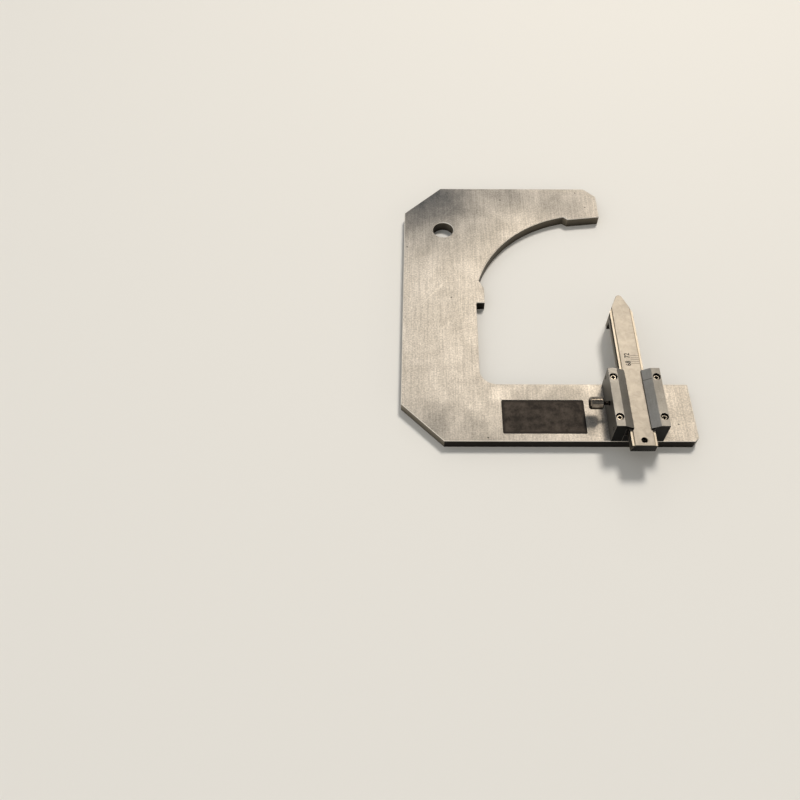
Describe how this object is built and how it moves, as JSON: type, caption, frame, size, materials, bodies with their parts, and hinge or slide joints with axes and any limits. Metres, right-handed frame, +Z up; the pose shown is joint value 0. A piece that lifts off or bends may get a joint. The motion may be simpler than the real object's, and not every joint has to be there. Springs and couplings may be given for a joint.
{
  "type": "wear gauge",
  "caption": "C-shaped flat steel wear gauge: plate with curved mouth, tilted datum pad and hanging hole, and a pointed scale tongue sliding in a lipped guide with thumb-screw lock.",
  "frame": {"origin": "centre of the hanging hole on the plate's underside, which is the face that the gauge lies on", "axes": "+Z up out of the plate's marked face, +Y along the plate's long side from the guide arm to the datum pad arm, which is also the way the tongue slides forward, +X from the spine to the open mouth"},
  "size_m": [0.1225, 0.1574, 0.0172],
  "materials": {
    "ground_steel_plate": "surface ground, fine grain, satin",
    "ground_steel_guide": "surface ground, satin",
    "satin_steel_tongue": "satin chrome plated steel",
    "nickel_steel": "turned and knurled, nickel plated",
    "bright_screw": "bright zinc plated",
    "black_screw": "black oxide",
    "brass_pad": "turned brass"
  },
  "bodies": {
    "root": {"gauge_plate": "ground_steel_plate", "guide_bed": "ground_steel_guide", "bed_screw_front": "bright_screw", "bed_screw_far": "bright_screw", "left_guide_rail": "ground_steel_guide", "right_guide_rail": "ground_steel_guide", "rail_screw_left_front": "bright_screw", "rail_screw_left_far": "bright_screw", "rail_screw_right_front": "bright_screw", "rail_screw_right_far": "bright_screw", "gib_strip": "ground_steel_guide", "gib_screw_front": "black_screw", "gib_screw_far": "black_screw"},
    "tongue": {"measuring_tongue": "satin_steel_tongue", "stop_screw": "bright_screw"},
    "lock_carrier": {"lock_pad": "brass_pad"},
    "lock_screw": {"lock_screw": "nickel_steel"}
  },
  "joints": [
    {"name": "tongue_slide", "type": "slide", "parent": "root", "child": "tongue", "axis": [0, 1, 0], "range_m": [-0.02996, 0.00395]},
    {"name": "lock_advance", "type": "slide", "parent": "root", "child": "lock_carrier", "axis": [1, 0, 0], "range_m": [-0.0008, 0.0002]},
    {"name": "lock_turn", "type": "hinge", "parent": "lock_carrier", "child": "lock_screw", "pos_m": [0.07755, -0.1064, 0.0121], "axis": [1, 0, 0], "range_deg": [-720.5, 180.5]}
  ],
  "couplings": [
    {"joint": "lock_turn", "follows": "lock_advance", "rad_per_m": 15708}
  ]
}
